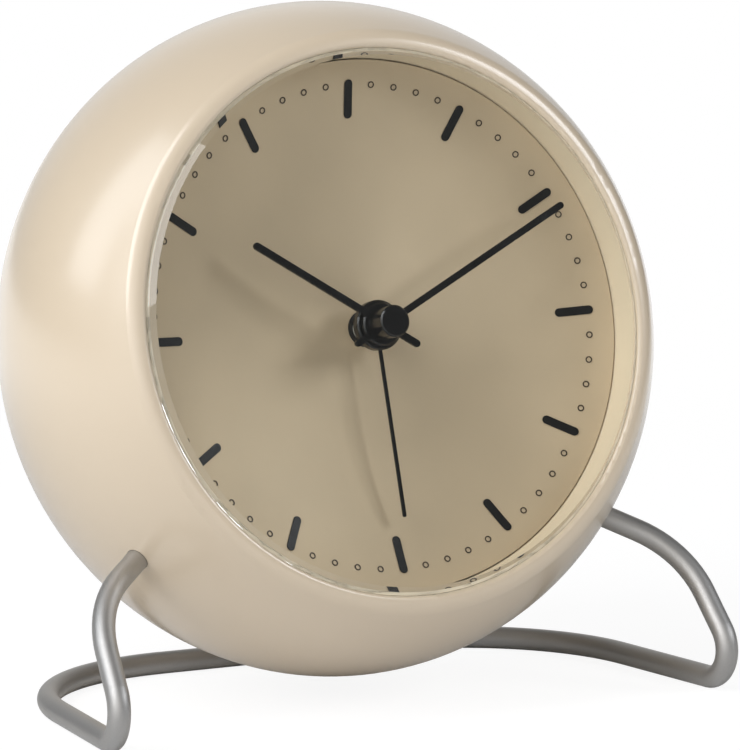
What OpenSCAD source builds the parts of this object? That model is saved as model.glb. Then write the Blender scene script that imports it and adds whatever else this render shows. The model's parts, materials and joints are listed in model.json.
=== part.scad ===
// Round table clock with an alarm, carried by one bent steel rod.
// Lengths are in millimetres. The origin is on the table under the middle of the clock,
// +X is to the right of the dial, +Y to the back and +Z up.
// Clock pieces are drawn around the dial's own axis, with z = 0 at about the height of the minute
// rings and z growing towards the viewer, and in_clock() leans them back and lifts them into place.

/* [Casing] */
// Largest diameter of the casing
case_d = 110; // [106:0.5:114]
// Radius of the casing's round side, seen in section
case_arc_r = 39.8; // [37:0.2:44]
// Depth of the widest place behind the dial
equator_depth = 16.9; // [15:0.1:18.5]
// Height of the front lip above the dial
lip_height = 8.1; // [7.6:0.1:8.8]
// Radius of the front lip's outer rounding
lip_r = 3; // [2:0.1:4]
// Radius of the lip's small inner rounding
lip_edge_r = 0.7; // [0.4:0.1:1]
// Wall of the casing and the back cover
case_wall = 2.4; // [1.8:0.1:3]
// Depth of the seam between casing and back cover behind the dial
seam_depth = 36.5; // [35:0.1:37.5]
// Height of the back cover from the seam to the flat back
cover_h = 7; // [6:0.1:8.5]
// Radius of the rounding around the flat back
back_edge_r = 4; // [3.2:0.1:5]
// Lean of the dial to the back, in degrees
lean = 14; // [10:0.5:18]
// Gap between the casing's lowest point and the table
table_gap = 3; // [2.5:0.1:6]
// Distance of the dial's centre in front of the origin
dial_forward = 15.93; // [14:0.01:19]

/* [Glass and dial] */
// Thickness of the glass
glass_t = 1.3; // [1:0.1:1.4]
// Width of the glass's bevel
glass_bevel = 1.2; // [0.4:0.1:1.2]
// Height of the glass's front face above the dial
glass_height = 8.7; // [8.6:0.1:9.6]
// Gap between the glass and the casing's lip
glass_gap = 0.1; // [0.05:0.05:0.4]
// Thickness of the dial frame's round wall
frame_wall = 0.75; // [0.5:0.05:0.9]
// Thickness of the dial frame's floor and flange
frame_t = 1.6; // [1.4:0.1:2]
// Thickness of the dial plate
dial_t = 0.8; // [0.5:0.1:1.2]
// Gap around the dial plate, seen as a dark line
dial_gap = 0.25; // [0.1:0.05:0.4]
// Height of the dial's edge, which is the highest place of its dish
dial_edge_h = 1.2; // [0.8:0.05:1.6]
// Depth of the dial's flat middle below its edge
dish_depth = 5.2; // [4:0.1:5.4]
// Radius of the dial's flat middle
dial_flat_r = 14.5; // [10:0.5:18]
// Length of an hour bar
bar_l = 6.1; // [4:0.1:8]
// Width of an hour bar
bar_w = 1.4; // [0.8:0.1:2]
// Height of an hour bar on the dial
bar_t = 0.12; // [0.08:0.01:0.2]
// Gap between the hour bars and the edge of the dial
bar_margin = 3.05; // [2:0.05:5]
// Outer diameter of a minute ring
ring_d = 1.1; // [0.8:0.05:1.4]
// Width of the line that draws a minute ring
ring_line = 0.2; // [0.15:0.01:0.3]
// Height of a minute ring on the dial
ring_t = 0.06; // [0.04:0.01:0.1]
// Gap between the minute rings and the edge of the dial
ring_margin = 3.3; // [2.2:0.1:4.4]

/* [Hands] */
// Clock angle of the hour hand, clockwise from twelve, in degrees
hour_angle = 303.25; // [0:0.05:360]
// Clock angle of the minute hand, in degrees
minute_angle = 63.35; // [0:0.05:360]
// Clock angle of the alarm hand, in degrees
alarm_angle = 177.9; // [0:0.05:360]
// Gap between the tip of the hour hand and the edge of the dial
hour_tip_gap = 17.2; // [15:0.05:23]
// Gap between the tip of the minute hand and the edge of the dial
minute_tip_gap = 4.7; // [3:0.05:12]
// Gap between the tip of the alarm hand and the edge of the dial
alarm_tip_gap = 11.95; // [8:0.05:22]
// Length of the tails of the hour and minute hands
tail_l = 7.1; // [5:0.1:9]
// Width of the hour hand
hour_w = 1.2; // [1:0.1:2]
// Width of the minute hand
minute_w = 1.1; // [0.8:0.1:1.6]
// Width of the alarm hand
alarm_w = 0.6; // [0.4:0.1:1]
// Thickness of the hour and minute hands
hand_t = 0.5; // [0.3:0.05:0.6]
// Thickness of the alarm hand
alarm_hand_t = 0.3; // [0.2:0.05:0.5]
// Radius of the alarm hand's hub
alarm_hub_r = 4.05; // [3.8:0.05:4.5]
// Radius of the hour hand's hub
hour_hub_r = 3.5; // [3:0.1:3.8]
// Radius of the minute hand's collar and of the cap
cap_r = 2.6; // [2.2:0.05:2.8]
// Height of the alarm hub's front face above the dial
alarm_hub_top = 1.5; // [1.3:0.05:1.6]
// Height of the hour hub's front face above the dial
hour_hub_top = 2.6; // [2.3:0.1:2.8]
// Height of the minute collar's front face above the dial
minute_collar_top = 4.65; // [4.3:0.05:4.9]
// Height of the cap's front face above the dial
cap_top = 6.9; // [6.5:0.05:7.1]
// Chamfer around the cap and the hubs
hub_chamfer = 0.25; // [0.1:0.05:0.4]
// Gap between one hub and the next
hub_gap = 0.12; // [0.08:0.01:0.2]

/* [Stand] */
// Diameter of the steel rod
rod_d = 3.7; // [3.4:0.1:4]
// Clock angle below the horizontal at which the rod enters the casing, in degrees
socket_angle = 38.2; // [34:0.2:42]
// Depth of the rod's entry behind the dial
socket_depth = 8.6; // [7:0.1:11]
// Length of the rod inside the casing
plug_l = 8; // [6:0.5:9]
// Sideways distance of the rod's upper bend
knee_x = 53.4; // [52:0.1:56]
// Distance of the upper bend in front of the origin
knee_front = 23.53; // [22:0.01:26]
// Height of the upper bend above the rod's line on the table
knee_height = 20; // [18:0.1:22]
// Sideways distance of the front foot
toe_x = 55.65; // [54:0.1:58]
// Distance of the front foot's corner in front of the origin
toe_front = 41.13; // [40:0.01:44]
// Sideways distance of the rear corner
heel_x = 48.6; // [46:0.1:52]
// Distance of the cross rod behind the origin
heel_back = 22.07; // [18:0.01:26]
// Radius of the upper bend
knee_r = 19.6; // [14:0.1:20]
// Radius of the front foot's bend
toe_r = 5.1; // [4:0.1:5.3]
// Radius of the wide rear bend
heel_r = 31.9; // [24:0.1:36]

/* [Movement] */
// Side of the square movement case
mv_side = 56; // [56:0.5:60]
// Wall of the movement case
mv_wall = 1.2; // [1:0.1:1.4]
// Clear depth inside the movement case
mv_inner_depth = 11.6; // [11.6:0.1:13]
// Tooth size (module) of the motion wheels
motion_tooth_size = 0.5; // [0.48:0.01:0.51]
// Tooth size (module) of the going train
train_tooth_size = 0.4; // [0.38:0.01:0.41]
// Thickness of a wheel
wheel_t = 0.8; // [0.6:0.05:0.9]
// Gap between one wheel's layer and the next
layer_gap = 0.5; // [0.4:0.05:0.6]
// Radius of the minute arbor
arbor_r = 0.75; // [0.6:0.05:0.8]
// Wall of the hour tube, the alarm tube and the fixed bush
tube_wall = 0.65; // [0.5:0.05:0.7]
// Running clearance of every turning fit
run_gap = 0.07; // [0.05:0.01:0.09]
// Clock angle of the two setting stems above the horizontal, in degrees
stem_angle = 21.8; // [18:0.2:26]
// Radius of the setting stems
stem_r = 1.5; // [1.2:0.1:1.6]

/* [Back] */
// Diameter of a setting knob
knob_d = 13; // [11:0.5:14]
// Height of a setting knob above the flat back
knob_h = 4.5; // [3:0.1:6]
// Depth of the round recess under a knob
recess_depth = 1.2; // [0.8:0.1:1.4]
// Gap between the alarm switch and the buzzer
switch_margin = 2; // [1:0.5:3]
// Travel of the alarm switch
switch_travel = 4; // [3:0.5:4]
// Gap between the buzzer and the edge of the flat back
buzzer_margin = 4; // [3:0.5:5]
// Diameter of the buzzer
buzzer_d = 18; // [16:0.5:20]
// Diameter of the battery
battery_d = 14.5; // [14:0.1:14.6]
// Length of the battery without its button
battery_l = 49.2; // [48:0.1:50]
// Length of the battery spring in its place
spring_l = 5.1; // [4:0.1:6]
// Gap between the battery and each side of its bay
bay_side_gap = 0.75; // [0.5:0.05:0.95]
// Thickness of the battery door
door_t = 1.6; // [1.4:0.1:1.8]

/* [Hidden] */
$fn = 96;

// Section of the casing: the big arc's centre, and the lip and back roundings on it
arc_off = case_d / 2 - case_arc_r;
back_depth = seam_depth + cover_h;
far = 2 * case_d;
lip_c = [
    arc_off + sqrt(pow(case_arc_r - lip_r, 2) - pow(lip_height - lip_r + equator_depth, 2)),
    lip_height - lip_r];
back_c = [
    arc_off + sqrt(pow(case_arc_r - back_edge_r, 2)
        - pow(back_depth - back_edge_r - equator_depth, 2)),
    back_edge_r - back_depth];
bore_r = lip_c.x - lip_edge_r;
seam_gap = 0.25;
land_wall = 1.6;
land_end = -1.2;
// One overrun for every cut that has to pass a face
over = 1;

// Glass and dial
glass_r = bore_r - glass_gap;
glass_under = glass_height - glass_t;
frame_r = bore_r - glass_gap / 2;
frame_in_r = frame_r - frame_wall;
dial_r = frame_in_r - dial_gap;
dial_floor = dial_edge_h - dish_depth;
dish_r = (pow(dial_r - dial_flat_r, 2) + pow(dish_depth, 2)) / (2 * dish_depth);
bar_circle_r = dial_r - bar_margin - bar_l / 2;
ring_circle_r = dial_r - ring_margin - ring_d / 2;
hour_l = dial_r - hour_tip_gap;
minute_l = dial_r - minute_tip_gap;
alarm_l = dial_r - alarm_tip_gap;
flange_top = land_end;
flange_r = arc_off + sqrt(pow(case_arc_r - case_wall, 2) - pow(flange_top + equator_depth, 2))
    - glass_gap;
flange_screw_inset = 1.9;
flange_screw_r = flange_r - flange_screw_inset;
flange_screw_angles = [60, 120, 240, 300];
frame_screw_r = 0.8;
frame_screw_head_r = 1.6;
frame_screw_head_h = 1;
frame_screw_l = 4;
frame_boss_r = 2.2;
screw_gap = 0.05;
hours = 12;
minutes = 60;
press_gap = 0.02;

ring_lift = 0.03;
ring_tilt = asin((ring_circle_r - dial_flat_r) / dish_r);

// Movement: layers are counted backwards from the front plate
mv_front = dial_floor - dial_t - frame_t;
mv_in = mv_front - mv_wall;
mv_back_in = mv_in - mv_inner_depth;
mv_back = mv_back_in - mv_wall;
mv_corner_r = 4;
mv_screw_inset = 3;
mv_screw_xy = mv_side / 2 - mv_screw_inset;
mv_screw_r = 0.9;
mv_screw_head_r = 1.8;
mv_screw_head_h = 1.2;
mv_pillar_r = 2.2;
pivot_r = 0.3;
pivot_l = 0.8;
pin_r = 0.5;
tube_in_r = arbor_r + run_gap;
tube_out_r = tube_in_r + tube_wall;
alarm_tube_in_r = tube_out_r + run_gap;
alarm_tube_out_r = alarm_tube_in_r + tube_wall;
bush_in_r = alarm_tube_out_r + run_gap;
bush_out_r = bush_in_r + tube_wall;
dial_hole_r = bush_out_r + run_gap;
bush_show = 0.2;
bush_top = dial_floor + bush_show;
alarm_hub_t = 1.6;
alarm_hub_base = alarm_hub_top - alarm_hub_t;
hour_hub_base = alarm_hub_top + hub_gap;
hour_hand_base = hour_hub_top - press_gap;
minute_collar_base = hour_hand_base + hand_t + hub_gap;
minute_hand_base = minute_collar_top - hand_t;
alarm_hand_base = alarm_hub_base + hand_t / 3;
arbor_top = minute_collar_top + 1.2 * hand_t;

// Teeth
cannon_teeth = 12;
minute_teeth = 36;
minute_pinion_teeth = 10;
hour_teeth = 40;
time_teeth = 18;
alarm_teeth = 40;
alarm_pinion_teeth = 16;
rotor_teeth = 8;
step_teeth = 48;
step_pinion_teeth = 8;
third_teeth = 48;
third_pinion_teeth = 10;
centre_teeth = 50;
addendum_share = 0.8;
dedendum_share = 1.15;
root_half_share = 0.27;
tip_half_share = 0.11;

// Distances between the centres, and where each wheel stands
motion_dist = (cannon_teeth + minute_teeth) / 2 * motion_tooth_size;
hour_tooth_size = 2 * motion_dist / (minute_pinion_teeth + hour_teeth);
setting_dist = (time_teeth + minute_teeth) / 2 * motion_tooth_size;
stem_dist = (alarm_teeth + alarm_pinion_teeth) / 2 * motion_tooth_size;
centre_dist = (centre_teeth + third_pinion_teeth) / 2 * train_tooth_size;
third_dist = (third_teeth + step_pinion_teeth) / 2 * train_tooth_size;
step_dist = (step_teeth + rotor_teeth) / 2 * train_tooth_size;
third_angle = -125;
step_angle = -35;
rotor_angle = 15;
minute_at_angle = stem_angle
    + acos((pow(stem_dist, 2) + pow(motion_dist, 2) - pow(setting_dist, 2))
        / (2 * stem_dist * motion_dist));
centre_at = [0, 0];
time_at = polar(stem_dist, stem_angle);
alarm_at = polar(stem_dist, 180 - stem_angle);
minute_at = polar(motion_dist, minute_at_angle);
third_at = polar(centre_dist, third_angle);
step_at = third_at + polar(third_dist, step_angle);
rotor_at = step_at + polar(step_dist, rotor_angle);

// Turn of each wheel that puts a tooth of one into a gap of the next
minute_phase = mesh_phase(0, cannon_teeth, minute_teeth, centre_at, minute_at);
hour_phase = mesh_phase(minute_phase, minute_pinion_teeth, hour_teeth, minute_at, centre_at);
time_phase = mesh_phase(minute_phase, minute_teeth, time_teeth, minute_at, time_at);
alarm_phase = mesh_phase(0, alarm_teeth, alarm_pinion_teeth, centre_at, alarm_at);
step_phase = mesh_phase(0, rotor_teeth, step_teeth, rotor_at, step_at);
third_phase = mesh_phase(step_phase, step_pinion_teeth, third_teeth, step_at, third_at);
centre_phase = mesh_phase(third_phase, third_pinion_teeth, centre_teeth, third_at, centre_at);

// Motor, coil, board and alarm contact
magnet_layer = 6;
magnet_r = 2.8;
magnet_t = 2;
stator_t = 0.6;
stator_gap = 0.5;
stator_margin = 3;
stator_z = layer(magnet_layer) - magnet_t / 2 - stator_t / 2;
coil_x = 23;
coil_y = 3;
coil_r = 2.1;
coil_l = 18;
coil_core_w = 2.4;
stator_x0 = rotor_at.x - magnet_r - stator_margin;
stator_x1 = coil_x + coil_core_w / 2;
stator_y0 = rotor_at.y - magnet_r - stator_margin;
stator_y1 = coil_y + coil_l / 2 + stator_margin;
stator_post_r = 1;
stator_posts = [[stator_x0, stator_y0] + 1.5 * [stator_post_r, stator_post_r],
    [stator_x1 - 1.2 * stator_post_r, stator_y0 + 1.5 * stator_post_r],
    [coil_x, stator_y1 - 1.5 * stator_post_r]];
board_t = 0.8;
board_size = [17, 15];
board_at = [-21.5, 10];
board_z = layer(magnet_layer) - board_t;
crystal_r = 1.5;
crystal_l = 7;
chip_r = 2.5;
chip_t = 1;
leaf_t = 0.3;
leaf_w = 2;
leaf_l = 18.8;
leaf_y = -5;
leaf_z = layer(2) - leaf_t + 0.4 * layer_gap;

// Back: the cover, its screws, the bay, the door and the switch
back_in = back_depth - case_wall;
cover_mid = back_depth - case_wall / 2;
spigot_wall = 1.5;
spigot_l = 3;
spigot_root = 2.4;
spigot_r = arc_off + sqrt(pow(case_arc_r - case_wall, 2) - pow(seam_depth - equator_depth, 2))
    - seam_gap;
post_r = 3.2;
post_margin = 0.8;
post_at_r = back_c.x - post_r - post_margin;
post_l = 10;
post_end = seam_depth - 2 * seam_gap;
post_angles = [60, 120, 240, 300];
web_t = 2;
web_end = seam_depth - spigot_l - seam_gap;
cover_screw_r = 1.2;
cover_screw_head_r = 2.4;
cover_screw_head_h = 1.5;
cover_screw_l = 12;
recess_gap = 1;
knob_lift = 0.3;
knob_flutes = 18;
flute_r = 0.7;
knob_pin_l = 3;
knob_pin_r = 1;
switch_w = 3.4;
switch_h = 2.6;
switch_out = 1.2;
switch_gap = 0.3;
switch_body_l = 12;
switch_body_h = 6;
switch_body_t = 4.6;
switch_foot_t = 1;
buzzer_y = back_c.x - buzzer_margin - buzzer_d / 2;
switch_y = buzzer_y - buzzer_d / 2 - switch_margin - switch_body_h / 2;
buzzer_t = 2.2;
sound_hole_r = 0.8;
sound_holes = 6;
sound_circle_r = 3.6;
bay_wall = 1.2;
contact_t = 0.4;
button_r = 2.75;
button_l = 1.3;
bay_l = spring_l + battery_l + button_l + contact_t;
bay_h = battery_d + 2 * bay_side_gap;
// The bay stands midway between the knobs' recesses and the cover's spigot
bay_top_y = stem_dist * sin(stem_angle) - knob_d / 2 - recess_gap;
bay_bottom_y = -sqrt(pow(spigot_r - spigot_wall, 2) - pow(bay_l / 2 + bay_wall, 2));
bay_c_y = (bay_top_y + bay_bottom_y) / 2;
door_slack = 0.3;
battery_c_z = door_t - back_depth + 2 * door_slack + battery_d / 2;
bay_front = battery_c_z + battery_d / 2 + door_slack;
battery_x1 = bay_l / 2 - contact_t - button_l;
battery_x0 = battery_x1 - battery_l;
door_ledge = 1.2;
door_gap = 0.15;
door_l = bay_l + 2 * door_ledge;
door_h = bay_h + 2 * door_ledge;
door_edge_r = door_t / 2;
door_hinge_y = bay_c_y - door_h / 2 + door_edge_r;
door_hinge_z = -back_depth + door_edge_r;
door_pin_r = 0.5;
door_pin_l = 0.8;
nail_r = 5;
nail_depth = 0.8;
spring_wire_r = 0.3;
spring_turns = 4;
spring_wide_r = 4.6;
spring_narrow_r = 2.6;
spring_sides = 6;
spring_steps = 14;
lead_d = 1;
lead_bend_r = 1.4;
lead_bay_inset = [5.5, 3];
lead_mv_inset = [10, 20];
lead_z = (bay_front + bay_wall + mv_back) / 2;
lead_bay = [bay_l / 2 - lead_bay_inset.x, bay_c_y + bay_h / 2 - lead_bay_inset.y];
lead_mv = [mv_side / 2 - lead_mv_inset.x, lead_mv_inset.y - mv_side / 2];
lead_from = [lead_bay.x, lead_bay.y, bay_front + bay_wall];
lead_turn = [lead_bay.x, lead_bay.y, lead_z];
lead_rise = [lead_mv.x, lead_mv.y, lead_z];
lead_to = [lead_mv.x, lead_mv.y, mv_back];

// Stand: corner points of the rod's middle line, on the right-hand side
rod_r = rod_d / 2;
dial_z = table_gap + equator_depth * sin(lean) + arc_off * cos(lean) + case_arc_r;
dial_y = -dial_forward;
entry_sink = 1;
entry_r = arc_off + sqrt(pow(case_arc_r, 2) - pow(equator_depth - socket_depth, 2)) - entry_sink;
entry = to_world([entry_r * cos(socket_angle), -entry_r * sin(socket_angle), -socket_depth]);
knee = [knee_x, -knee_front, rod_r + knee_height];
toe = [toe_x, -toe_front, rod_r];
heel = [heel_x, heel_back, rod_r];
plug_dir = unit(entry - knee);
plug_end = entry + plug_dir * (plug_l - entry_sink);
right_rod = [plug_end, knee, toe, heel];
// Each straight length runs this far into a bend, and is thinner than it by the step all round
bend_lap = 0.05;
bend_step = 0.01;
socket_wall = 1.8;
socket_gap = 0.05;

function unit(v) = v / norm(v);
function mirror_x(p) = [-p.x, p.y, p.z];
function polar(r, a) = [r * cos(a), r * sin(a)];
function to_world(p) = [p.x,
    dial_y - p.z * cos(lean) + p.y * sin(lean),
    dial_z + p.z * sin(lean) + p.y * cos(lean)];
// Height of the dial's dish at radius r
function dish_z(r) = dial_floor + dish_r - sqrt(pow(dish_r, 2) - pow(r - dial_flat_r, 2));
// Front face of a wheel's layer, counted from 0 at the alarm wheel
function layer(k) = mv_in - layer_gap - k * (wheel_t + layer_gap);
// Phase that a driven wheel needs, from the driver's phase, both tooth counts and both centres
function mesh_phase(a, n1, n2, c1, c2) =
    let (t = atan2(c2.y - c1.y, c2.x - c1.x)) t + 180 - n1 / n2 * (a - t) - 180 / n2;

module in_clock() {
    translate([0, dial_y, dial_z]) rotate([90 - lean, 0, 0]) children();
}

// Turns by a clock angle, clockwise from twelve as the viewer sees it
module at_clock_angle(a) {
    rotate([0, 0, -a]) children();
}

// Straight length of round bar from a to b
module bar_between(a, b, d) {
    v = b - a;
    translate(a) rotate([0, acos(v.z / norm(v)), atan2(v.y, v.x)]) cylinder(h = norm(v), d = d);
}

function bend_reach(p, c, q, r) = r / tan(acos(unit(p - c) * unit(q - c)) / 2);

// Round bend of a bar of diameter d at corner c, on the way from p to q
module bar_bend(p, c, q, r, d) {
    u1 = unit(p - c);
    u2 = unit(q - c);
    opening = acos(u1 * u2);
    mid = c + unit(u1 + u2) * r / sin(opening / 2);
    s = unit(c + u1 * bend_reach(p, c, q, r) - mid);
    n = unit(cross(s, c + u2 * bend_reach(p, c, q, r) - mid));
    tip = acos(n.z);
    spin = atan2(n.y, n.x);
    e = [cos(tip) * cos(spin), cos(tip) * sin(spin), -sin(tip)];
    translate(mid) rotate([0, tip, spin]) rotate([0, 0, atan2(s * cross(n, e), s * e)])
        rotate_extrude(angle = 180 - opening) translate([r, 0]) circle(d = d);
}

// Round bar along the points, with a bend of the given radius at each inner point
module bent_bar(points, radii, d) {
    last = len(points) - 1;
    trim = [0, for (i = [1 : last - 1])
        bend_reach(points[i - 1], points[i], points[i + 1], radii[i - 1]) - bend_lap, 0];
    for (i = [0 : last - 1]) {
        along = unit(points[i + 1] - points[i]);
        bar_between(points[i] + along * trim[i], points[i + 1] - along * trim[i + 1],
            d - 2 * bend_step);
    }
    for (i = [1 : last - 1])
        bar_bend(points[i - 1], points[i], points[i + 1], radii[i - 1], d);
}

// Flat bar with round ends, from -a to b along +Y
module round_bar(a, b, w) {
    translate([-w / 2, w / 2 - a]) square([w, a + b - w]);
    translate([0, w / 2 - a]) circle(d = w);
    translate([0, b - w / 2]) circle(d = w);
}

module rounded_square(side, r) {
    square([side, side - 2 * r], center = true);
    square([side - 2 * r, side], center = true);
    for (x = [-1, 1], y = [-1, 1])
        translate([x * (side / 2 - r), y * (side / 2 - r)]) circle(r);
}

// Turned disc with a chamfered front edge, from z0 up to z1
module chamfered_disc(r, z0, z1, c) {
    rotate_extrude() polygon([[0, z0], [r, z0], [r, z1 - c], [r - c, z1], [0, z1]]);
}

// Toothed wheel outline: a tooth has straight flanks and lies on the +X axis at phase 0
module teeth(n, m, phase) {
    pitch = 360 / n;
    root = m * (n / 2 - dedendum_share);
    tip = m * (n / 2 + addendum_share);
    polygon([for (i = [0 : n - 1]) each [
        polar(root, phase + (i - root_half_share) * pitch),
        polar(tip, phase + (i - tip_half_share) * pitch),
        polar(tip, phase + (i + tip_half_share) * pitch),
        polar(root, phase + (i + root_half_share) * pitch)]]);
}

module wheel(n, m, phase, top, t = wheel_t) {
    translate([0, 0, top - t]) linear_extrude(height = t) teeth(n, m, phase);
}

// Arbor between the two movement walls, with a thin pivot in each
module arbor(r = pin_r) {
    translate([0, 0, mv_back_in + run_gap])
        cylinder(h = mv_inner_depth - 2 * run_gap, r = r);
    translate([0, 0, mv_back_in - pivot_l])
        cylinder(h = mv_inner_depth + 2 * pivot_l, r = pivot_r);
}

// Blind bores for the pivots of an arbor, from z in direction up or down
module pivot_bore(at, z, r, l) {
    translate([at.x, at.y, z]) cylinder(h = l, r = r + run_gap);
}

// Half plane behind or in front of the line from c through its rounding's tangent point
module wedge(c, toward_front) {
    d = unit(c - [arc_off, -equator_depth]);
    p = c + d * case_d;
    polygon(toward_front
        ? [c, p, [p.x, far], [c.x, far]]
        : [c, p, [p.x, -far], [c.x, -far]]);
}

// Filled section of the closed casing, from the lip to the flat back
module body_section() {
    front_d = unit(lip_c - [arc_off, -equator_depth]) * case_d;
    back_d = unit(back_c - [arc_off, -equator_depth]) * case_d;
    intersection() {
        translate([arc_off, -equator_depth]) circle(case_arc_r, $fn = 240);
        polygon([[0, lip_c.y], lip_c, lip_c + front_d, back_c + back_d, back_c, [0, back_c.y]]);
    }
    intersection() {
        translate(lip_c) circle(lip_r);
        wedge(lip_c, true);
    }
    intersection() {
        translate(back_c) circle(back_edge_r);
        wedge(back_c, false);
    }
    translate([0, -back_depth]) square([back_c.x, back_edge_r]);
    translate([bore_r, lip_c.y]) square([lip_edge_r, lip_r - lip_edge_r]);
    intersection() {
        translate([lip_c.x, lip_height - lip_edge_r]) circle(lip_edge_r);
        translate([bore_r, lip_height - lip_edge_r]) square(lip_edge_r);
    }
}

// Room inside the casing, with the ring that holds the glass left standing
module cavity_section() {
    difference() {
        union() {
            translate([arc_off, -equator_depth]) circle(case_arc_r - case_wall, $fn = 240);
            translate([0, -far]) square([arc_off, far]);
        }
        translate([0, land_end]) square([bore_r + land_wall, far]);
        translate([0, -far]) square([far, far - back_in]);
    }
    translate([0, land_end]) square([bore_r, far]);
}

module shell_section() {
    difference() {
        body_section();
        cavity_section();
        translate([0, -far - seam_depth]) square([far, far]);
    }
}

module cover_section() {
    difference() {
        body_section();
        cavity_section();
        translate([0, -seam_depth - seam_gap]) square([far, far]);
    }
    translate([spigot_r - spigot_wall, -seam_depth - spigot_root])
        square([spigot_wall, spigot_l + spigot_root]);
}

// Solid that ends inside the casing's wall, to trim posts and sockets
module wall_core() {
    rotate_extrude() intersection() {
        translate([arc_off, -equator_depth]) circle(case_arc_r - case_wall / 2, $fn = 240);
        translate([0, -far]) square([far, 2 * far]);
    }
}

module for_angles(angles, r) {
    for (a = angles) rotate([0, 0, a]) translate([r, 0, 0]) children();
}

module both_sides() {
    children();
    mirror([1, 0, 0]) children();
}

module case_shell() color("#d9c7ac") difference() {
    union() {
        in_clock() {
            rotate_extrude() shell_section();
            intersection() {
                wall_core();
                union() {
                    for_angles(flange_screw_angles, flange_screw_r)
                        translate([0, 0, land_end]) cylinder(h = frame_screw_l, r = frame_boss_r);
                    for_angles(post_angles, post_at_r) {
                        translate([0, 0, -post_end]) cylinder(h = post_l, r = post_r);
                        translate([0, -web_t / 2, -web_end])
                            cube([case_d / 2 - post_at_r, web_t, post_l - spigot_l]);
                    }
                }
            }
        }
        intersection() {
            in_clock() wall_core();
            both_sides() bar_between(knee, plug_end + plug_dir * socket_wall,
                rod_d + 2 * socket_wall);
        }
    }
    both_sides() bar_between(knee, plug_end + plug_dir * socket_gap, rod_d + 2 * socket_gap);
    in_clock() {
        for_angles(flange_screw_angles, flange_screw_r) translate([0, 0, land_end - over])
            cylinder(h = frame_screw_l + over - frame_screw_r, r = frame_screw_r + screw_gap);
        for_angles(post_angles, post_at_r) translate([0, 0, -post_end - over])
            cylinder(h = post_l + over - cover_screw_r, r = cover_screw_r + screw_gap);
    }
}

module glass() color("#dfe9ec", 0.35) in_clock() rotate_extrude() polygon([
    [0, glass_under], [glass_r, glass_under], [glass_r, glass_height - glass_bevel],
    [glass_r - glass_bevel, glass_height], [0, glass_height]]);

module dial_frame() color("#d2c09c") in_clock() difference() {
    rotate_extrude() polygon([
        [dial_hole_r, dial_floor - dial_t], [frame_in_r, dial_floor - dial_t],
        [frame_in_r, glass_under],
        [frame_r, glass_under], [frame_r, flange_top], [flange_r, flange_top],
        [flange_r, flange_top - frame_t], [frame_r, flange_top - frame_t],
        [frame_r, mv_front], [dial_hole_r, mv_front]]);
    for_angles(flange_screw_angles, flange_screw_r) translate([0, 0, flange_top - frame_t - over])
        cylinder(h = frame_t + 2 * over, r = frame_screw_r + screw_gap);
    for (x = [-1, 1], y = [-1, 1])
        translate([x * mv_screw_xy, y * mv_screw_xy, mv_front - over])
            cylinder(h = over + 0.75 * frame_t, r = mv_screw_r + screw_gap);
}

// Section of a layer on the dial's dish, from height low to height high over its front face
module dish_layer(low, high) {
    intersection() {
        translate([dial_flat_r, dial_floor + dish_r]) difference() {
            circle(dish_r - low, $fn = 240);
            circle(dish_r - high, $fn = 240);
        }
        translate([dial_flat_r, -far]) square([dial_r - dial_flat_r, far + glass_height]);
    }
    translate([dial_hole_r, dial_floor + low]) square([dial_flat_r - dial_hole_r, high - low]);
}

module dial_plate() color("#b3a27f") in_clock() rotate_extrude($fn = 240) dish_layer(-dial_t, 0);

module hour_bars() color("#26262a") in_clock() intersection() {
    rotate_extrude($fn = 240) dish_layer(press_gap, press_gap + bar_t);
    translate([0, 0, dial_floor]) linear_extrude(height = dish_depth + glass_height)
        for (i = [0 : hours - 1]) at_clock_angle(i * 360 / hours)
            translate([0, bar_circle_r]) round_bar(bar_l / 2, bar_l / 2, bar_w);
}

module minute_rings() color("#4a3c30") in_clock()
    for (i = [0 : minutes - 1]) if (i % (minutes / hours) != 0)
        at_clock_angle(i * 360 / minutes)
            translate([0, ring_circle_r, dish_z(ring_circle_r) + ring_lift]) rotate([ring_tilt, 0, 0])
                linear_extrude(height = ring_t) difference() {
                    circle(d = ring_d, $fn = 24);
                    circle(d = ring_d - 2 * ring_line, $fn = 24);
                }

module hour_hand() color("#232326") in_clock() difference() {
    union() {
        chamfered_disc(hour_hub_r, hour_hub_base, hour_hub_top, hub_chamfer);
        at_clock_angle(hour_angle) translate([0, 0, hour_hand_base]) linear_extrude(height = hand_t) {
            round_bar(tail_l, hour_l, hour_w);
            circle(cap_r);
        }
    }
    translate([0, 0, hour_hub_base - over])
        cylinder(h = minute_collar_top, r = tube_out_r + press_gap);
}

module minute_hand() color("#232326") in_clock() difference() {
    union() {
        translate([0, 0, minute_collar_base])
            cylinder(h = minute_collar_top - minute_collar_base, r = cap_r);
        at_clock_angle(minute_angle) translate([0, 0, minute_hand_base])
            linear_extrude(height = hand_t) round_bar(tail_l, minute_l, minute_w);
    }
    translate([0, 0, minute_collar_base - over])
        cylinder(h = minute_collar_top, r = arbor_r + press_gap);
}

module hand_cap() color("#1d1d20") in_clock() difference() {
    chamfered_disc(cap_r, minute_collar_top, cap_top, hub_chamfer);
    translate([0, 0, minute_collar_top - over])
        cylinder(h = arbor_top - minute_collar_top + press_gap + over, r = arbor_r + press_gap);
}

module alarm_hand() color("#232326") in_clock() difference() {
    union() {
        chamfered_disc(alarm_hub_r, alarm_hub_base, alarm_hub_top, hub_chamfer);
        at_clock_angle(alarm_angle) translate([0, 0, alarm_hand_base])
            linear_extrude(height = alarm_hand_t) round_bar(0, alarm_l, alarm_w);
    }
    translate([0, 0, alarm_hub_base - over])
        cylinder(h = minute_collar_top, r = alarm_tube_out_r + press_gap);
}

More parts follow.
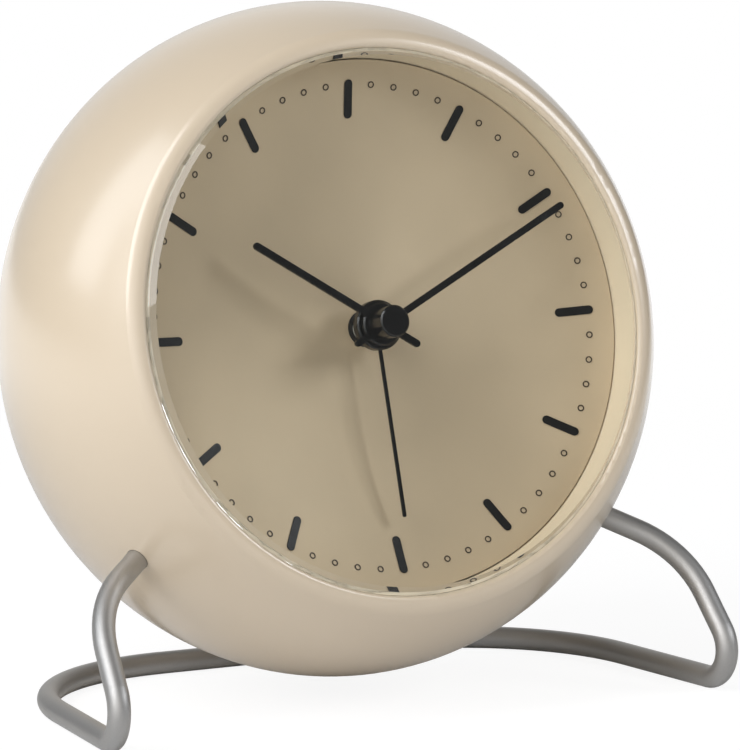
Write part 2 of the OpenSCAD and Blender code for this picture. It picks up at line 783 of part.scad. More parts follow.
module stand() color("#a9a9a8") bent_bar(
    concat(right_rod, [for (i = [len(right_rod) - 1 : -1 : 0]) mirror_x(right_rod[i])]),
    [knee_r, toe_r, heel_r, heel_r, toe_r, knee_r], rod_d);

module back_cover() color("#d6c4a8") in_clock() difference() {
    union() {
        rotate_extrude() cover_section();
        for_angles(post_angles, post_at_r) translate([0, 0, -cover_mid])
            cylinder(h = cover_mid - post_end, r = post_r);
        translate([-bay_l / 2 - bay_wall, bay_c_y - bay_h / 2 - bay_wall, -cover_mid])
            cube([bay_l + 2 * bay_wall, bay_h + 2 * bay_wall, cover_mid + bay_front + bay_wall]);
    }
    translate([-bay_l / 2, bay_c_y - bay_h / 2, -back_depth - over])
        cube([bay_l, bay_h, back_depth + bay_front + over]);
    translate([-door_l / 2 - door_gap, bay_c_y - door_h / 2 - door_gap, -back_depth - over])
        cube([door_l + 2 * door_gap, door_h + 2 * door_gap, door_t + door_gap + over]);
    translate([0, door_hinge_y, door_hinge_z]) rotate([0, 90, 0])
        cylinder(h = door_l + 2 * door_pin_l + 2 * door_gap, r = door_pin_r + run_gap, center = true);
    translate([0, bay_c_y + door_h / 2, -back_depth - over]) cylinder(h = nail_depth + over, r = nail_r);
    for (at = [time_at, alarm_at]) translate([at.x, at.y, -back_depth - over]) {
        cylinder(h = recess_depth + over, r = knob_d / 2 + recess_gap);
        cylinder(h = case_wall + 2 * over, r = stem_r + run_gap);
    }
    translate([-(switch_w + switch_travel) / 2 - switch_gap, switch_y - switch_h / 2 - switch_gap,
        -back_depth - over])
        cube([switch_w + switch_travel + 2 * switch_gap, switch_h + 2 * switch_gap,
            case_wall + 2 * over]);
    for (i = [0 : sound_holes]) rotate_about([0, buzzer_y], i * 360 / sound_holes)
        translate([i == sound_holes ? 0 : sound_circle_r, 0, -back_depth - over])
            cylinder(h = case_wall + 2 * over, r = sound_hole_r);
    for_angles(post_angles, post_at_r) translate([0, 0, -back_depth - over]) {
        cylinder(h = back_depth, r = cover_screw_r + screw_gap);
        cylinder(h = cover_screw_head_h + over, r = cover_screw_head_r + door_gap);
    }
}

module rotate_about(at, a) {
    translate([at.x, at.y, 0]) rotate([0, 0, a]) children();
}

// Screw with its head at the back: head base at z, shank towards the front, cross slot
module screw(z, head_r, head_h, r, l) {
    difference() {
        union() {
            translate([0, 0, z]) cylinder(h = head_h, r = head_r);
            translate([0, 0, z]) cylinder(h = head_h + l, r = r);
        }
        for (a = [0, 90]) rotate([0, 0, a]) translate([0, 0, z])
            cube([1.2 * head_r, head_r / 4, head_h], center = true);
    }
}

module cover_screws() color("#9a9a9c") in_clock() for_angles(post_angles, post_at_r)
    screw(-back_depth, cover_screw_head_r, cover_screw_head_h, cover_screw_r, cover_screw_l);

module frame_screws() color("#9a9a9c") in_clock() for_angles(flange_screw_angles, flange_screw_r)
    screw(flange_top - frame_t - frame_screw_head_h, frame_screw_head_r, frame_screw_head_h,
        frame_screw_r, frame_t + frame_screw_l - 2 * frame_screw_r);

module movement_screws() color("#9a9a9c") in_clock() for (x = [-1, 1], y = [-1, 1])
    translate([x * mv_screw_xy, y * mv_screw_xy, 0])
        screw(mv_back - mv_screw_head_h, mv_screw_head_r, mv_screw_head_h, mv_screw_r,
            mv_front - mv_back + frame_t / 2);

module battery_door() color("#d6c4a8") in_clock() {
    translate([-door_l / 2, door_hinge_y, -back_depth])
        cube([door_l, door_h - door_edge_r - door_gap, door_t]);
    translate([0, door_hinge_y, door_hinge_z]) rotate([0, 90, 0]) {
        cylinder(h = door_l, r = door_edge_r, center = true);
        cylinder(h = door_l + 2 * door_pin_l, r = door_pin_r, center = true);
    }
}

module battery() color("#3c4a55") in_clock()
    translate([battery_x0, bay_c_y, battery_c_z]) rotate([0, 90, 0]) {
        cylinder(h = battery_l, d = battery_d);
        cylinder(h = battery_l + button_l, r = button_r);
    }

// Ring of the spring's wire at share s of its length, round the battery's axis
function spring_ring(s) =
    let (a = 360 * spring_turns * s, r = spring_wide_r + (spring_narrow_r - spring_wide_r) * s,
        x0 = -bay_l / 2 + spring_wire_r, x1 = battery_x0 - spring_wire_r,
        x = x0 + (x1 - x0) * s)
    [for (k = [0 : spring_sides - 1])
        let (b = 360 * k / spring_sides, q = r + spring_wire_r * cos(b))
        [x + spring_wire_r * sin(b), bay_c_y + q * cos(a), battery_c_z + q * sin(a)]];

module battery_spring() color("#c8c8c8") in_clock() {
    steps = spring_turns * spring_steps;
    n = spring_sides;
    rings = [for (i = [0 : steps]) each spring_ring(i / steps)];
    polyhedron(rings, concat(
        [[for (k = [0 : n - 1]) k]],
        [for (i = [0 : steps - 1], k = [0 : n - 1]) each [
            [i * n + k, (i + 1) * n + k, (i + 1) * n + (k + 1) % n],
            [i * n + k, (i + 1) * n + (k + 1) % n, i * n + (k + 1) % n]]],
        [[for (k = [0 : n - 1]) steps * n + n - 1 - k]]));
}

module battery_contact() color("#c8c8c8") in_clock()
    translate([bay_l / 2 - contact_t, bay_c_y - battery_d / 4, battery_c_z - battery_d / 4])
        cube([contact_t, battery_d / 2, battery_d / 2]);

module battery_leads() color("#8a2f2a") in_clock() both_sides()
    bent_bar([lead_from, lead_turn, lead_rise, lead_to], [lead_bend_r, lead_bend_r], lead_d);

// Fluted knob on the square end of its stem
module knob(at) {
    translate([at.x, at.y, -back_depth - knob_h]) difference() {
        chamfered_back_disc(knob_d / 2, 0, knob_h + recess_depth - knob_lift, hub_chamfer * 2);
        for (i = [0 : knob_flutes - 1]) rotate([0, 0, i * 360 / knob_flutes])
            translate([knob_d / 2 + flute_r / 2, 0, -over])
                cylinder(h = knob_h + recess_depth + 2 * over, r = flute_r, $fn = 24);
        translate([0, 0, knob_h + recess_depth - knob_lift - knob_pin_l])
            cylinder(h = knob_pin_l + over, r = knob_pin_r + press_gap);
    }
}

// Turned disc with a chamfered back edge, from z0 up to z1
module chamfered_back_disc(r, z0, z1, c) {
    rotate_extrude() polygon([[0, z0], [r - c, z0], [r, z0 + c], [r, z1], [0, z1]]);
}

// Setting stem: pivot in the front plate, shaft to the cover, pin into the knob
module stem(at, teeth_n, phase, top) {
    knob_base = -back_depth + recess_depth - knob_lift;
    translate([at.x, at.y, 0]) {
        wheel(teeth_n, motion_tooth_size, phase, top);
        translate([0, 0, knob_base])
            cylinder(h = mv_in - run_gap - knob_base, r = stem_r);
        translate([0, 0, knob_base - knob_pin_l + press_gap])
            cylinder(h = mv_in - knob_base + knob_pin_l - over, r = knob_pin_r);
        translate([0, 0, mv_in - over]) cylinder(h = over + pivot_l - run_gap, r = pivot_r);
    }
}

module time_knob() color("#d2bfa2") in_clock() knob(time_at);

module alarm_knob() color("#d2bfa2") in_clock() knob(alarm_at);

module time_stem() color("#c9a45c") in_clock() stem(time_at, time_teeth, time_phase, layer(2));

module alarm_stem() color("#c9a45c") in_clock()
    stem(alarm_at, alarm_pinion_teeth, alarm_phase, layer(0));

module alarm_switch() color("#26262a") in_clock()
    translate([-switch_travel / 2 - switch_w / 2, switch_y - switch_h / 2, 0]) {
        translate([0, 0, -back_depth - switch_out])
            cube([switch_w, switch_h, switch_out + case_wall + switch_foot_t + switch_gap]);
        translate([0, -switch_foot_t / 2, -back_in + switch_gap])
            cube([switch_w, switch_h + switch_foot_t, switch_foot_t]);
    }

module switch_body() color("#b9b9b4") in_clock()
    translate([0, switch_y, -back_in]) difference() {
        translate([-switch_body_l / 2, -switch_body_h / 2, 0])
            cube([switch_body_l, switch_body_h, switch_body_t]);
        translate([-switch_body_l / 2 + bay_wall, -switch_body_h / 2 + bay_wall / 2, -over])
            cube([switch_body_l - 2 * bay_wall, switch_body_h - bay_wall,
                over + switch_foot_t + 3 * switch_gap]);
    }

module buzzer() color("#c9a45c") in_clock() translate([0, buzzer_y, -back_in]) difference() {
    cylinder(h = buzzer_t, d = buzzer_d);
    translate([0, 0, -over]) cylinder(h = over + buzzer_t / 2, d = buzzer_d - 4 * buzzer_t / 2);
}

module movement_front() color("#ecece6") in_clock() difference() {
    union() {
        translate([0, 0, mv_in]) linear_extrude(height = mv_wall)
            rounded_square(mv_side, mv_corner_r);
        translate([0, 0, mv_in]) cylinder(h = bush_top - mv_in, r = bush_out_r);
    }
    translate([0, 0, mv_in - over]) cylinder(h = bush_top - mv_in + 2 * over, r = bush_in_r);
    for (at = [minute_at, third_at, step_at, rotor_at, time_at, alarm_at])
        pivot_bore(at, mv_in - over, pivot_r, over + pivot_l + run_gap);
    for (x = [-1, 1], y = [-1, 1]) translate([x * mv_screw_xy, y * mv_screw_xy, mv_in - over])
        cylinder(h = mv_wall + 2 * over, r = mv_screw_r + screw_gap);
}

module movement_back() color("#ecece6") in_clock() difference() {
    union() {
        difference() {
            translate([0, 0, mv_back]) linear_extrude(height = mv_in - mv_back)
                rounded_square(mv_side, mv_corner_r);
            translate([0, 0, mv_back_in]) linear_extrude(height = mv_in - mv_back_in + over)
                rounded_square(mv_side - 2 * mv_wall, mv_corner_r - mv_wall);
        }
        for (x = [-1, 1], y = [-1, 1]) translate([x * mv_screw_xy, y * mv_screw_xy, mv_back])
            cylinder(h = mv_in - mv_back, r = mv_pillar_r);
        for (at = stator_posts) translate([at.x, at.y, mv_back])
            cylinder(h = stator_z - mv_back, r = stator_post_r);
    }
    for (at = [minute_at, third_at, step_at, rotor_at])
        pivot_bore(at, mv_back_in - pivot_l - run_gap, pivot_r, pivot_l + run_gap + over);
    pivot_bore(centre_at, mv_back_in - pivot_l - run_gap, arbor_r, pivot_l + run_gap + over);
    for (at = [time_at, alarm_at]) pivot_bore(at, mv_back - over, stem_r, mv_wall + 2 * over);
    for (x = [-1, 1], y = [-1, 1]) translate([x * mv_screw_xy, y * mv_screw_xy, mv_back - over])
        cylinder(h = mv_in - mv_back + 2 * over, r = mv_screw_r + screw_gap);
}

module minute_arbor() color("#c9a45c") in_clock() {
    translate([0, 0, mv_back_in - pivot_l])
        cylinder(h = arbor_top - mv_back_in + pivot_l, r = arbor_r);
    wheel(cannon_teeth, motion_tooth_size, 0, layer(2));
}

module centre_wheel() color("#c9a45c") in_clock() difference() {
    wheel(centre_teeth, train_tooth_size, centre_phase, layer(3));
    translate([0, 0, layer(3) - wheel_t - over])
        cylinder(h = wheel_t + 2 * over, r = arbor_r + run_gap / 2);
}

module third_wheel() color("#c9a45c") in_clock() translate([third_at.x, third_at.y, 0]) {
    arbor();
    wheel(third_teeth, train_tooth_size, third_phase, layer(4));
    wheel(third_pinion_teeth, train_tooth_size, third_phase, layer(3), wheel_t + layer_gap);
}

module step_wheel() color("#e8e4d8") in_clock() translate([step_at.x, step_at.y, 0]) {
    arbor();
    wheel(step_teeth, train_tooth_size, step_phase, layer(5));
    wheel(step_pinion_teeth, train_tooth_size, step_phase, layer(4), wheel_t + layer_gap);
}

module rotor() color("#4c4c50") in_clock() translate([rotor_at.x, rotor_at.y, 0]) {
    arbor();
    wheel(rotor_teeth, train_tooth_size, 0, layer(5), wheel_t + layer_gap);
    translate([0, 0, layer(magnet_layer) - magnet_t]) cylinder(h = magnet_t, r = magnet_r);
}

module minute_wheel() color("#e8e4d8") in_clock() translate([minute_at.x, minute_at.y, 0]) {
    arbor();
    wheel(minute_teeth, motion_tooth_size, minute_phase, layer(2));
    wheel(minute_pinion_teeth, hour_tooth_size, minute_phase, layer(1), wheel_t + layer_gap);
}

// Wheel at a layer with a tube that carries its hand
module tube_wheel(n, m, phase, k, in_r, out_r, top) {
    difference() {
        union() {
            wheel(n, m, phase, layer(k));
            translate([0, 0, layer(k) - wheel_t]) cylinder(h = top - layer(k) + wheel_t, r = out_r);
        }
        translate([0, 0, layer(k) - wheel_t - over])
            cylinder(h = top - layer(k) + wheel_t + 2 * over, r = in_r);
    }
}

module hour_wheel() color("#e8e4d8") in_clock()
    tube_wheel(hour_teeth, hour_tooth_size, hour_phase, 1, tube_in_r, tube_out_r, hour_hand_base + hand_t);

module alarm_wheel() color("#e8e4d8") in_clock()
    tube_wheel(alarm_teeth, motion_tooth_size, 0, 0, alarm_tube_in_r, alarm_tube_out_r, alarm_hub_top);

module stator() color("#8f8f92") in_clock() translate([0, 0, stator_z])
    linear_extrude(height = stator_t) difference() {
        union() {
            translate([stator_x0, stator_y0])
                square([stator_x1 - stator_x0, 2 * (magnet_r + stator_margin)]);
            translate([coil_x - coil_core_w / 2, rotor_at.y])
                square([coil_core_w, stator_y1 - rotor_at.y]);
        }
        translate(rotor_at) circle(magnet_r + stator_gap);
    }

module coil() color("#b06a3a") in_clock()
    translate([coil_x, coil_y - coil_l / 2, stator_z + stator_t / 2]) difference() {
        rotate([-90, 0, 0]) union() {
            cylinder(h = coil_l, r = coil_r - stator_t / 2);
            for (y = [0, coil_l - stator_t]) translate([0, 0, y]) cylinder(h = stator_t, r = coil_r);
        }
        translate([-coil_core_w / 2 - run_gap, -over, -stator_t / 2 - run_gap])
            cube([coil_core_w + 2 * run_gap, coil_l + 2 * over, stator_t + 2 * run_gap]);
    }

// Board on four pins that stand on the movement's back wall
module circuit_board() color("#3f6b46") in_clock()
    translate([board_at.x, board_at.y, mv_back_in]) {
        translate([0, 0, board_z - mv_back_in]) cube([board_size.x, board_size.y, board_t]);
        for (x = [pivot_l, board_size.x - pivot_l], y = [pivot_l, board_size.y - pivot_l])
            translate([x, y, 0]) cylinder(h = board_z - mv_back_in + board_t, r = pin_r);
    }

module quartz_crystal() color("#b8b8ba") in_clock()
    translate([board_at.x + crystal_r, board_at.y + 2 * crystal_r, board_z + board_t + crystal_r])
        rotate([0, 90, 0]) cylinder(h = crystal_l, r = crystal_r);

module driver_chip() color("#1c1c1e") in_clock()
    translate([board_at.x + board_size.x / 2, board_at.y + board_size.y - 2 * chip_r,
        board_z + board_t]) chamfered_disc(chip_r, 0, chip_t, chip_t / 2);

// Leaf behind the hour wheel's rim, on a block under the front plate
module alarm_contact() color("#c9a45c") in_clock()
    translate([-mv_side / 2 + mv_wall, leaf_y, leaf_z]) {
        cube([leaf_w, leaf_w, mv_in - leaf_z]);
        cube([leaf_w + leaf_l, leaf_w, leaf_t]);
    }

case_shell();
glass();
dial_frame();
dial_plate();
hour_bars();
minute_rings();
hour_hand();
minute_hand();
hand_cap();
alarm_hand();
stand();
back_cover();
cover_screws();
battery_door();
battery();
battery_spring();
battery_contact();
battery_leads();
time_knob();
time_stem();
alarm_knob();
alarm_stem();
alarm_switch();
switch_body();
buzzer();
frame_screws();
movement_front();
movement_back();
movement_screws();
minute_arbor();
centre_wheel();
third_wheel();
step_wheel();
rotor();
minute_wheel();
hour_wheel();
alarm_wheel();
stator();
coil();
circuit_board();
quartz_crystal();
driver_chip();
alarm_contact();
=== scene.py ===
"""Looks of the table clock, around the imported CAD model. Metres, origin on the table."""
import json
import math
from functools import partial

import bpy
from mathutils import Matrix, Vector

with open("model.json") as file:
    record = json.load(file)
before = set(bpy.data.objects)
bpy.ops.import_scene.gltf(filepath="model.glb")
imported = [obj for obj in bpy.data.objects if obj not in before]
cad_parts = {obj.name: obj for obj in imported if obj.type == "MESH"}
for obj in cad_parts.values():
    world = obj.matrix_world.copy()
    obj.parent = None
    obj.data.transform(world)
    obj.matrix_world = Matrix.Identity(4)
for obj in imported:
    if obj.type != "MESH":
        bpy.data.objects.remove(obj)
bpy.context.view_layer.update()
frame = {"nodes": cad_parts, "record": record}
scene = bpy.context.scene
scene.view_settings.view_transform = "Standard"

MM = 0.001
WHITE = (1, 1, 1)
DIAL_CENTRE = Vector((0, -15.93 * MM, 61.637 * MM))
# The dial leans back by this, and faces along this direction
LEAN = math.radians(14)
DIAL_WAY = Vector((0, -math.cos(LEAN), math.sin(LEAN)))

# Camera, solved from the rings of the dial and the outline of the casing, with angles in degrees
CAMERA_TURN = -27.88
CAMERA_RISE = 8.70
CAMERA_DISTANCE = 1042 * MM
CAMERA_LENS = 312.05
SENSOR_WIDTH = 36
CLIP_NEAR = 0.01
CLIP_FAR = 50
# The camera is moved aside by this from where it would look at the dial's centre
AIM_RIGHT = -0.733 * MM
AIM_UP = -7.83 * MM


def way_to(turn, rise):
    """Direction from the clock, turned from straight in front of it to the right, and raised."""
    a, e = math.radians(turn), math.radians(rise)
    return Vector((math.sin(a) * math.cos(e), -math.cos(a) * math.cos(e), math.sin(e)))


def set_up(name, data, place, look):
    """Put a camera or lamp at a place, looking along a direction."""
    obj = bpy.data.objects.new(name, data)
    scene.collection.objects.link(obj)
    obj.location = place
    obj.rotation_euler = look.to_track_quat("-Z", "Y").to_euler()
    return obj


def add_camera():
    turn = math.radians(CAMERA_TURN)
    right = Vector((math.cos(turn), math.sin(turn), 0))
    look = -way_to(CAMERA_TURN, CAMERA_RISE)
    up = right.cross(look)
    data = bpy.data.cameras.new("camera")
    data.lens = CAMERA_LENS
    data.sensor_width = SENSOR_WIDTH
    data.clip_start = CLIP_NEAR
    data.clip_end = CLIP_FAR
    place = DIAL_CENTRE + right * AIM_RIGHT + up * AIM_UP - look * CAMERA_DISTANCE
    scene.camera = set_up("camera", data, place, look)


# Sockets of the Mix node when it mixes colours
MIX_SHARE, MIX_FIRST, MIX_SECOND, MIX_RESULT = 0, 6, 7, 2
# Nearly all values of a noise lie between these
NOISE_LOW, NOISE_HIGH = 0.3, 0.7
BEVEL_SAMPLES = 4
# Lumps per metre of the faint marks in the gloss of plastic, and of its moulded grain
MARKS = 220
MOULD_GRAIN = 2600
# How far the roughness of metal goes below and above its middle
METAL_BELOW, METAL_ABOVE = 0.05, 0.07


class Tree:
    """Short way to write the node tree of a material or world."""

    def __init__(self, owner):
        owner.use_nodes = True
        self.owner = owner
        self.nodes = owner.node_tree.nodes
        self.links = owner.node_tree.links
        self.nodes.clear()

    def put(self, node, key, value):
        """Give a socket, by name or number, a value or another node's output."""
        socket = node.inputs[key]
        if isinstance(value, bpy.types.NodeSocket):
            self.links.new(value, socket)
        elif socket.type == "RGBA":
            socket.default_value = (*value, 1)
        else:
            socket.default_value = value

    def make(self, kind, sockets=None, **settings):
        """New node of a kind, with its settings, and with values or links for its sockets."""
        node = self.nodes.new("ShaderNode" + kind)
        for name, setting in settings.items():
            setattr(node, name, setting)
        for key, value in (sockets or {}).items():
            self.put(node, key, value)
        return node

    def shader(self, kind, sockets):
        """Output of a new shader node."""
        return self.make(kind, sockets).outputs[0]

    def place(self):
        """Where a point of the surface is, in metres."""
        return self.make("TexCoord").outputs["Object"]

    def math(self, operation, a, b):
        return self.make("Math", {0: a, 1: b}, operation=operation).outputs[0]

    def noise(self, scale, detail, rough=0.5, vector=None, seed=0.0):
        """Noise of a given size: scale is in lumps per metre."""
        return self.make("TexNoise", {
            "Vector": vector or self.place(), "W": seed, "Scale": scale, "Detail": detail,
            "Roughness": rough}, noise_dimensions="4D").outputs["Fac"]

    def spread(self, value, low, high, from_low=NOISE_LOW, from_high=NOISE_HIGH):
        """Value stretched from one range to another."""
        return self.make("MapRange", {
            "Value": value, "From Min": from_low, "From Max": from_high, "To Min": low,
            "To Max": high}).outputs["Result"]

    def mix(self, share, first, second):
        """Colour between two, by the share of the second."""
        return self.make("Mix", {
            MIX_SHARE: share, MIX_FIRST: first, MIX_SECOND: second},
            data_type="RGBA").outputs[MIX_RESULT]

    def clouded(self, clouds, tones):
        """Soft clouds of a noise between two tones of a colour."""
        return self.mix(self.spread(clouds, 0, 1), *tones)

    def marked(self, low, high):
        """Roughness between two values, with faint marks as from handling."""
        return self.spread(self.noise(MARKS, detail=5, rough=0.65, seed=3), low, high)

    def rounded(self, radius):
        """Normal of a face whose edges look rounded."""
        return self.make("Bevel", {"Radius": radius}, samples=BEVEL_SAMPLES).outputs["Normal"]

    def bump(self, height, depth, normal=None):
        """Normal of a face with a bump of a given depth, over another normal if there is one."""
        node = self.make("Bump", {"Height": height, "Distance": depth})
        if normal:
            self.put(node, "Normal", normal)
        return node.outputs["Normal"]

    def moulded(self, grain, depth, edge):
        """Normal of a moulded face: a fine grain and rounded edges."""
        return self.bump(self.noise(grain, detail=2, seed=5), depth, self.rounded(edge))

    def mix_shader(self, share, first, second):
        """Shader between two, by the share of the second. None is black."""
        node = self.make("MixShader", {"Fac": share})
        for index, shader in ((1, first), (2, second)):
            if shader:
                self.put(node, index, shader)
        return node.outputs[0]

    def finish(self, shader, output="OutputMaterial"):
        """Put the shader on the output, and return the material or world."""
        self.make(output, {"Surface": shader})
        return self.owner


def new_tree(name):
    return Tree(bpy.data.materials.new(name))


def shades(colour, factors):
    """Tones of a colour, darker or lighter by each factor."""
    return [tuple(min(1.0, c * factor) for c in colour) for factor in factors]


def plastic(name, colour, rough, grain=MOULD_GRAIN, depth=6e-6, edge=0.15 * MM, coat=0.0,
            tones=(0.95, 1.04), cloud=30, uneven=0.045, shine=0.5):
    """Moulded plastic: soft colour clouds, fine grain, rounded edges and slightly uneven gloss."""
    t = new_tree(name)
    return t.finish(t.shader("BsdfPrincipled", {
        "Base Color": t.clouded(t.noise(cloud, detail=2), shades(colour, tones)),
        "Roughness": t.marked(rough - uneven, rough + uneven),
        "Normal": t.moulded(grain, depth, edge),
        "Specular IOR Level": shine, "Coat Weight": coat, "Coat Roughness": 0.2}))


def metal(name, colour, rough, grain_scale=(4000, 4000, 4000), depth=2e-6, edge=0.08 * MM,
          tones=(0.9, 1.06)):
    """Metal with a fine directional or even grain, and rounded edges."""
    t = new_tree(name)
    vector = t.make("Mapping", {"Vector": t.place(), "Scale": grain_scale}).outputs["Vector"]
    grain = t.noise(1, detail=3, rough=0.6, vector=vector)
    return t.finish(t.shader("BsdfPrincipled", {
        "Base Color": t.clouded(t.noise(90, detail=3), shades(colour, tones)), "Metallic": 1.0,
        "Roughness": t.spread(grain, rough - METAL_BELOW, rough + METAL_ABOVE),
        "Normal": t.bump(grain, depth, t.rounded(edge))}))


def clear_glass(name):
    """Clear glass: what lights the dial behind it passes straight through. A ray that the glass
    has bent counts as glossy as well, and still needs the glass where it leaves."""
    t = new_tree(name)
    smudges = t.noise(60, detail=4, rough=0.6)
    glass = t.shader("BsdfPrincipled", {
        "Base Color": (0.96, 0.975, 0.975), "Transmission Weight": 1.0, "IOR": 1.5,
        "Roughness": t.spread(smudges, 0.0, 0.012)})
    clear = t.shader("BsdfTransparent", {"Color": (0.93, 0.94, 0.94)})
    path = t.make("LightPath").outputs
    lighting = t.math("MAXIMUM", path["Is Shadow Ray"], path["Is Diffuse Ray"])
    mirrored = t.math("SUBTRACT", path["Is Glossy Ray"], path["Is Transmission Ray"])
    return t.finish(t.mix_shader(t.math("MAXIMUM", lighting, mirrored), glass, clear))


def dial_metal(name):
    """Satin champagne metal, a little cloudy, brushed out from its centre, so its gloss fans."""
    t = new_tree(name)
    grain = t.noise(5200, detail=2, seed=2)
    tones = shades((0.64, 0.51, 0.34), (0.93, 1.07))
    around = t.make("Tangent", direction_type="RADIAL", axis="Y").outputs["Tangent"]
    return t.finish(t.shader("BsdfPrincipled", {
        "Base Color": t.clouded(t.noise(45, detail=2, seed=1), tones),
        "Metallic": 0.32, "Roughness": t.spread(grain, 0.46, 0.52),
        "Anisotropic": 0.6, "Anisotropic Rotation": 0.25, "Tangent": around,
        "Normal": t.bump(grain, depth=1.5e-6)}))


# The movement's bush comes through the dial, and its end there is painted black as painted shade
# under the hands' hub. From this height over the dial's centre, a place behind it, the bush turns
# to this painted shade within a short length
BUSH_PAINTED_SHADE_FROM = -4.5 * MM
BUSH_PAINTED_SHADE_OVER = 0.05 * MM
BUSH_PAINTED_SHADE = (0.008, 0.008, 0.008)


def movement_plate(name):
    """White moulding of the movement. The end of its bush that shows on the dial is painted black,
    as painted shade under the hands' hub.
    """
    t = new_tree(name)
    height = t.make("VectorMath", {0: t.place(), 1: DIAL_WAY}, operation="DOT_PRODUCT")
    start = DIAL_CENTRE.dot(DIAL_WAY) + BUSH_PAINTED_SHADE_FROM
    # Painted shade: the bush turns black where it shows under the hands' hub
    painted_shade_share = t.spread(height.outputs["Value"], 0, 1, start, start + BUSH_PAINTED_SHADE_OVER)
    white = t.clouded(t.noise(30, detail=2), [(0.71, 0.71, 0.66), (0.77, 0.77, 0.72)])
    return t.finish(t.shader("BsdfPrincipled", {
        "Base Color": t.mix(painted_shade_share, white, BUSH_PAINTED_SHADE), "Roughness": t.marked(0.41, 0.49),
        "Normal": t.moulded(MOULD_GRAIN, depth=6e-6, edge=0.1 * MM)}))


PAINT_BLACK = (0.008, 0.008, 0.0076)
# Depth of the grain of paint and print
PAINT_DEPTH = 1e-6
SLOT_LOOKS = {
    "sand_plastic": partial(plastic, colour=(0.72, 0.605, 0.455), rough=0.32, depth=8e-7,
                            coat=1.0, tones=(0.985, 1.01), cloud=14, uneven=0.012),
    "back_plastic": partial(plastic, colour=(0.68, 0.58, 0.46), rough=0.42, grain=1800,
                            depth=1.2e-5),
    "frame_plastic": partial(plastic, colour=(0.90, 0.78, 0.58), rough=0.5, edge=0.05 * MM),
    "clear_glass": clear_glass,
    "dial_metal": dial_metal,
    "black_paint": partial(plastic, colour=PAINT_BLACK, rough=0.2, edge=0.1 * MM,
                           depth=PAINT_DEPTH),
    "dial_print": partial(plastic, colour=(0.055, 0.035, 0.02), rough=0.5, edge=0.01 * MM,
                          depth=PAINT_DEPTH),
    "stand_steel": partial(metal, colour=(0.48, 0.475, 0.465), rough=0.5,
                           grain_scale=(3500, 3500, 3500), depth=8e-7, tones=(0.97, 1.02)),
    "screw_steel": partial(metal, colour=(0.58, 0.58, 0.60), rough=0.3),
    "battery_wrap": partial(plastic, colour=(0.03, 0.05, 0.08), rough=0.3),
    "spring_steel": partial(metal, colour=(0.7, 0.7, 0.71), rough=0.2),
    "lead_cover": partial(plastic, colour=(0.35, 0.02, 0.015), rough=0.45),
    "stem_brass": partial(metal, colour=(0.75, 0.55, 0.25), rough=0.28),
    "switch_black": partial(plastic, colour=(0.02, 0.02, 0.022), rough=0.45),
    "switch_grey": partial(plastic, colour=(0.4, 0.4, 0.38), rough=0.5),
    "movement_white": movement_plate,
    "gear_plastic": partial(plastic, colour=(0.72, 0.70, 0.62), rough=0.4),
    "magnet_dark": partial(metal, colour=(0.12, 0.12, 0.13), rough=0.4),
    "motor_iron": partial(metal, colour=(0.35, 0.35, 0.36), rough=0.35),
    "copper_wire": partial(metal, colour=(0.62, 0.28, 0.12), rough=0.3,
                           grain_scale=(500, 6000, 500), depth=2e-5),
    "board_green": partial(plastic, colour=(0.02, 0.10, 0.035), rough=0.35),
    "crystal_can": partial(metal, colour=(0.6, 0.6, 0.61), rough=0.25),
}
# Nodes that look different from the rest of their slot: the bars are flatter than the hands
NODE_LOOKS = {
    "hour_bars": partial(plastic, colour=PAINT_BLACK, rough=0.38, edge=0.08 * MM,
                         depth=PAINT_DEPTH, shine=0.25),
}


def dress_cad_nodes():
    """Give every CAD node the material of its slot, or its own where it has one."""
    slot_of = {row["node"]: row["material_slot"] for row in frame["record"]["subparts"]}
    made = {}
    for name, obj in frame["nodes"].items():
        key, look = slot_of[name], SLOT_LOOKS[slot_of[name]]
        if name in NODE_LOOKS:
            key, look = name + "_paint", NODE_LOOKS[name]
        if key not in made:
            made[key] = look(key)
        for place in obj.material_slots:
            place.material = made[key]
        if not obj.material_slots:
            obj.data.materials.append(made[key])


FLOOR_SIDE = 12
FLOOR_CELLS = 4
FLOOR_COLOUR = (0.80, 0.80, 0.80)
# To the camera the floor shows shadows up to the first distance from the clock, and is plain
# white from the second on
FLOOR_SHADE_END = 0.16
FLOOR_WHITE_FROM = 0.34
# Share of the lit paper in what the camera sees, and the white that fills it up to 1
FLOOR_SHADOW_SHARE = 0.2
FLOOR_GLOW = 0.895


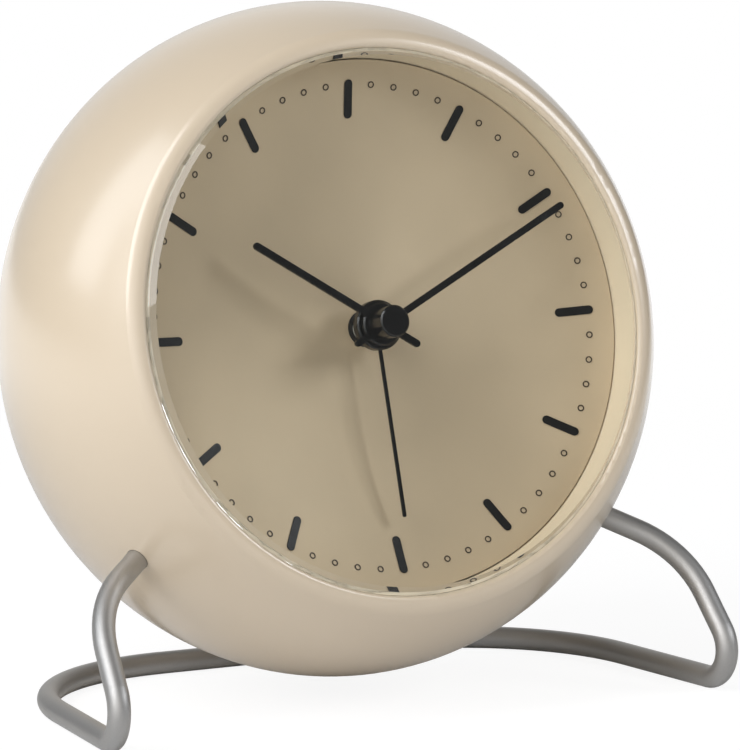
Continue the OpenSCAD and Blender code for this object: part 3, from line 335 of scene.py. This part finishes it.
def add_floor():
    """White floor: it keeps the clock's shadow, and further out it is plain white to the camera."""
    bpy.ops.mesh.primitive_grid_add(
        x_subdivisions=FLOOR_CELLS, y_subdivisions=FLOOR_CELLS, size=FLOOR_SIDE)
    floor = bpy.context.object
    floor.name = "floor"
    t = new_tree("floor_paper")
    fibres = t.spread(t.noise(900, detail=3), 0.97, 1.0)
    colour = t.make("VectorMath", {0: FLOOR_COLOUR, "Scale": fibres}, operation="SCALE").outputs[0]
    paper = t.shader("BsdfDiffuse", {"Color": colour})
    white = t.shader("Emission", {"Color": WHITE, "Strength": 1.0})
    glow = t.shader("Emission", {"Color": WHITE, "Strength": FLOOR_GLOW})
    faint = t.mix_shader(FLOOR_SHADOW_SHARE, None, paper)
    near = t.shader("AddShader", {0: faint, 1: glow})
    away = t.make("VectorMath", {"Vector": t.place()}, operation="LENGTH").outputs["Value"]
    far = t.spread(away, 0, 1, FLOOR_SHADE_END, FLOOR_WHITE_FROM)
    path = t.make("LightPath").outputs
    seen = t.math("MAXIMUM", path["Is Camera Ray"], path["Is Transmission Ray"])
    reflected = t.mix_shader(path["Is Glossy Ray"], paper, t.mix_shader(far, paper, white))
    shown = t.mix_shader(seen, reflected, t.mix_shader(far, near, white))
    floor.data.materials.append(t.finish(shown))


# The studio round the clock: name, turn and rise of each soft panel's middle, and its level.
# The camera itself sees white
STUDIO_COLOUR = (1.0, 0.985, 0.97)
PANEL_SHARPNESS = 5
PANELS = [
    ("low -60", -60, 15, 1.7),
    ("low -20", -20, 15, 0.4),
    ("low 155", 155, 15, 0.8),
    ("up", 0, 90, 0.1),
]


def add_world():
    """White to the camera, and a soft studio with a level for each side to everything else."""
    scene.world = bpy.data.worlds.new("studio")
    t = Tree(scene.world)
    direction = t.make("TexCoord").outputs["Generated"]
    total = 0.0
    for name, turn, rise, level in PANELS:
        facing = t.make("VectorMath", {0: direction, 1: way_to(turn, rise)},
                        operation="DOT_PRODUCT").outputs["Value"]
        soft = t.math("POWER", t.math("MAXIMUM", facing, 0), PANEL_SHARPNESS)
        panel = t.math("MULTIPLY", soft, level)
        panel.node.name = name
        total = t.math("ADD", panel, total)
    studio = t.shader("Background", {"Color": STUDIO_COLOUR, "Strength": total})
    white = t.shader("Background", {"Color": WHITE, "Strength": 1.0})
    path = t.make("LightPath").outputs
    seen = t.math("MAXIMUM", path["Is Camera Ray"], path["Is Transmission Ray"])
    t.finish(t.mix_shader(seen, studio, white), "OutputWorld")


LAMP_DISTANCE = 0.9
LAMP_WIDTH = 0.3
# Name, turn and rise of the direction that the light comes from, height, power and colour
LAMPS = [
    ("key", -78, 42, 0.84, 3.9, (0.98, 0.98, 1.0)),
    ("left", -112, 36, 0.7, 1.8, (0.89, 0.94, 1.0)),
    ("right", 51, 28, 0.36, 2.4, (0.94, 0.96, 1.0)),
]


def add_lamps():
    for name, turn, rise, height, power, colour in LAMPS:
        data = bpy.data.lights.new(name, "AREA")
        data.shape = "RECTANGLE"
        data.size, data.size_y = LAMP_WIDTH, height
        data.energy = power
        data.color = colour
        way = way_to(turn, rise)
        set_up(name, data, DIAL_CENTRE + way * LAMP_DISTANCE, -way)


add_camera()
dress_cad_nodes()
add_floor()
add_world()
add_lamps()
